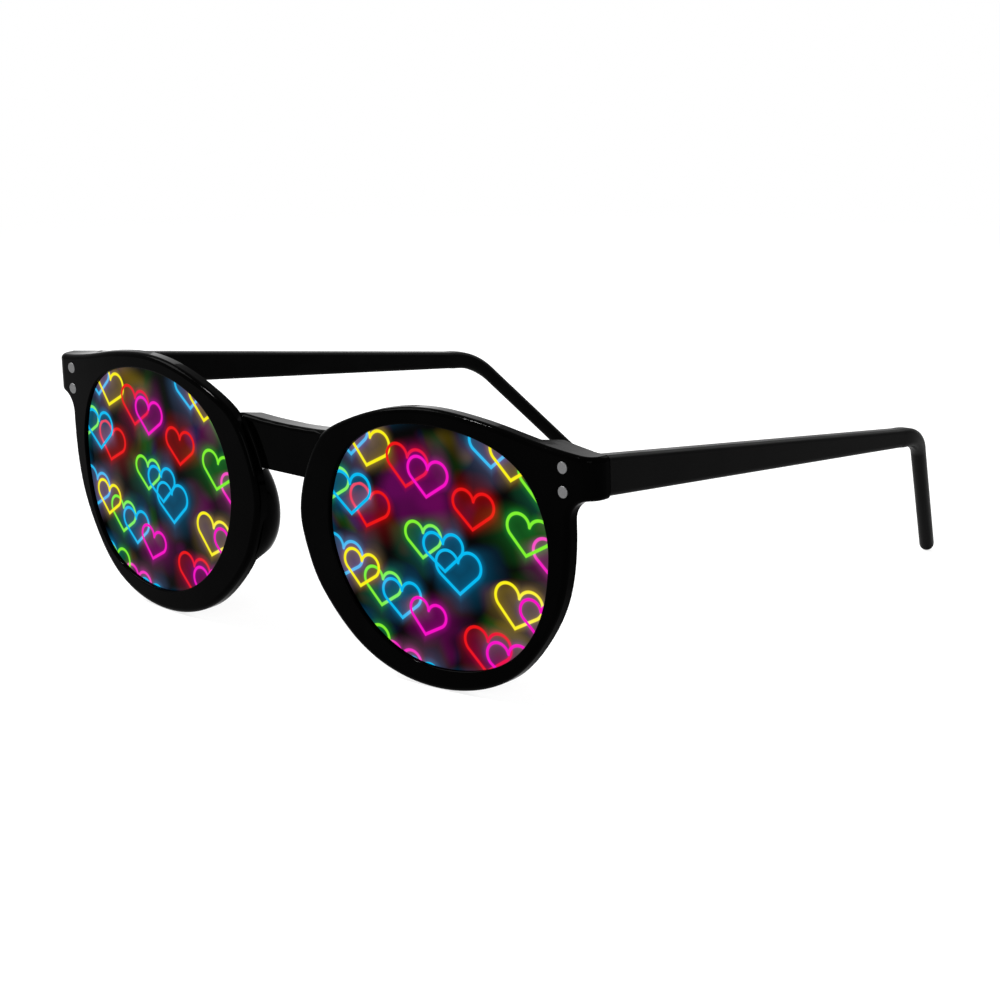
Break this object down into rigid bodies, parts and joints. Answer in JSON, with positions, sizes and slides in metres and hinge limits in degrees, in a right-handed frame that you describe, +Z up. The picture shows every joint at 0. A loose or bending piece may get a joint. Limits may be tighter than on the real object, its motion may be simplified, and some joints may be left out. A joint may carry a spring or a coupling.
{
  "type": "diffraction glasses",
  "caption": "Round plastic glasses with a keyhole bridge, film-faced lenses printed with glowing heart outlines, rivets on the brow and slim temples that fold on screwed hinges.",
  "frame": {"origin": "on the ground under the middle of the glasses as they stand unfolded: midway between the two sides, and midway between the front and the temple tips", "axes": "+X towards the wearer's left, +Y back along the temples, away from the face of the front, +Z up"},
  "size_m": [0.1372, 0.137, 0.0484],
  "materials": {
    "front_plastic": "gloss",
    "temple_plastic": "satin",
    "lens_plastic": "gloss",
    "printed_film": "gloss film with coloured heart outlines",
    "rivet_steel": "satin",
    "hinge_steel": "brushed",
    "screw_steel": "turned"
  },
  "bodies": {
    "front": {"front_frame": "front_plastic", "left_lens": "lens_plastic", "left_diffraction_film": "printed_film", "left_upper_front_rivet": "rivet_steel", "left_lower_front_rivet": "rivet_steel", "left_front_hinge_leaf": "hinge_steel", "left_hinge_screw": "screw_steel", "right_lens": "lens_plastic", "right_diffraction_film": "printed_film", "right_upper_front_rivet": "rivet_steel", "right_lower_front_rivet": "rivet_steel", "right_front_hinge_leaf": "hinge_steel", "right_hinge_screw": "screw_steel"},
    "left_arm": {"left_temple": "temple_plastic", "left_temple_hinge_leaf": "hinge_steel"},
    "right_arm": {"right_temple": "temple_plastic", "right_temple_hinge_leaf": "hinge_steel"}
  },
  "joints": [
    {"name": "left_temple_fold", "type": "hinge", "parent": "front", "child": "left_arm", "pos_m": [0.0636, -0.05771, 0.04057], "axis": [0, -0.0349, 0.9994], "range_deg": [0, 82]},
    {"name": "right_temple_fold", "type": "hinge", "parent": "front", "child": "right_arm", "pos_m": [-0.0636, -0.05771, 0.04057], "axis": [0, 0.0349, -0.9994], "range_deg": [0, 74]}
  ]
}
